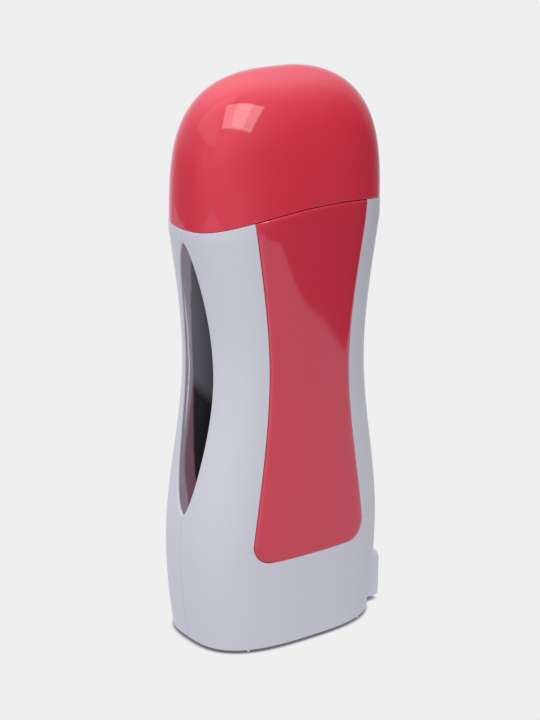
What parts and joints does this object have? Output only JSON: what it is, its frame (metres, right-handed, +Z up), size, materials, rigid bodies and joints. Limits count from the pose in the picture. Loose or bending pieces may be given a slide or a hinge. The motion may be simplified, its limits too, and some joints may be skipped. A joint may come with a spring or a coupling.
{
  "type": "roll-on wax heater",
  "caption": "Hand-held roll-on wax heater: waisted clamshell body with gloss side inlays, smoked sight window, pull-off domed cap and a lift-out roller cartridge.",
  "frame": {"origin": "on the body's vertical axis, at the level of the table under the base pad", "axes": "+Z up through the cap; X across the broad side, with the sight window at -X and the mains inlet at +X; Y through the depth, with the front inlay at -Y"},
  "size_m": [0.0764, 0.0474, 0.1912],
  "materials": {
    "shell_white": "satin moulded",
    "inlay_coral": "gloss moulded",
    "cap_coral": "high gloss moulded",
    "smoked_lens": "smoked, polished",
    "collar_white": "satin moulded",
    "base_white": "fine textured",
    "foot_rubber": "matte",
    "screw_steel": "zinc plated",
    "inlet_white": "satin moulded",
    "pin_brass": "polished",
    "well_black": "satin, heat resistant",
    "plate_aluminium": "mill finish",
    "ptc_ceramic": "matte ceramic",
    "film_amber": "glossy film",
    "spring_steel": "bright rolled",
    "rivet_aluminium": "bright",
    "fuse_ceramic": "matte",
    "board_green": "solder resist",
    "component_body": "lacquered",
    "led_red": "tinted clear",
    "lead_brown": "satin",
    "lead_blue": "satin",
    "lead_white": "satin",
    "lead_black": "satin",
    "bottle_clear": "translucent",
    "wax_red": "waxy",
    "head_white": "gloss moulded",
    "roller_white": "gloss moulded"
  },
  "bodies": {
    "heater": {"front_shell": "shell_white", "rear_shell": "shell_white", "front_inlay": "inlay_coral", "rear_inlay": "inlay_coral", "sight_window": "smoked_lens", "neck_collar": "collar_white", "base_cover": "base_white", "base_pad": "foot_rubber", "base_screws": "screw_steel", "shell_screws": "screw_steel", "inlet_housing": "inlet_white", "inlet_pins": "pin_brass", "cartridge_well": "well_black", "heating_plate": "plate_aluminium", "ptc_heater": "ptc_ceramic", "insulation_film": "film_amber", "heater_clamp": "spring_steel", "clamp_rivets": "rivet_aluminium", "thermal_fuse": "fuse_ceramic", "leaf_spring": "spring_steel", "circuit_board": "board_green", "board_parts": "component_body", "indicator_led": "led_red", "live_lead": "lead_brown", "neutral_lead": "lead_blue", "link_lead": "lead_white", "board_leads": "lead_black"},
    "cartridge": {"cartridge_bottle": "bottle_clear", "wax_fill": "wax_red", "roller_head": "head_white"},
    "roller": {"roller": "roller_white"},
    "cap": {"cap": "cap_coral"}
  },
  "joints": [
    {"name": "cartridge_lift", "type": "slide", "parent": "heater", "child": "cartridge", "axis": [0, 0, 1], "range_m": [0, 0.118]},
    {"name": "cap_pull", "type": "slide", "parent": "cartridge", "child": "cap", "axis": [0, 0, 1], "range_m": [0, 0.06]},
    {"name": "roller_spin", "type": "hinge", "parent": "cartridge", "child": "roller", "pos_m": [0, 0, 0.1712], "axis": [1, 0, 0], "continuous": true}
  ]
}
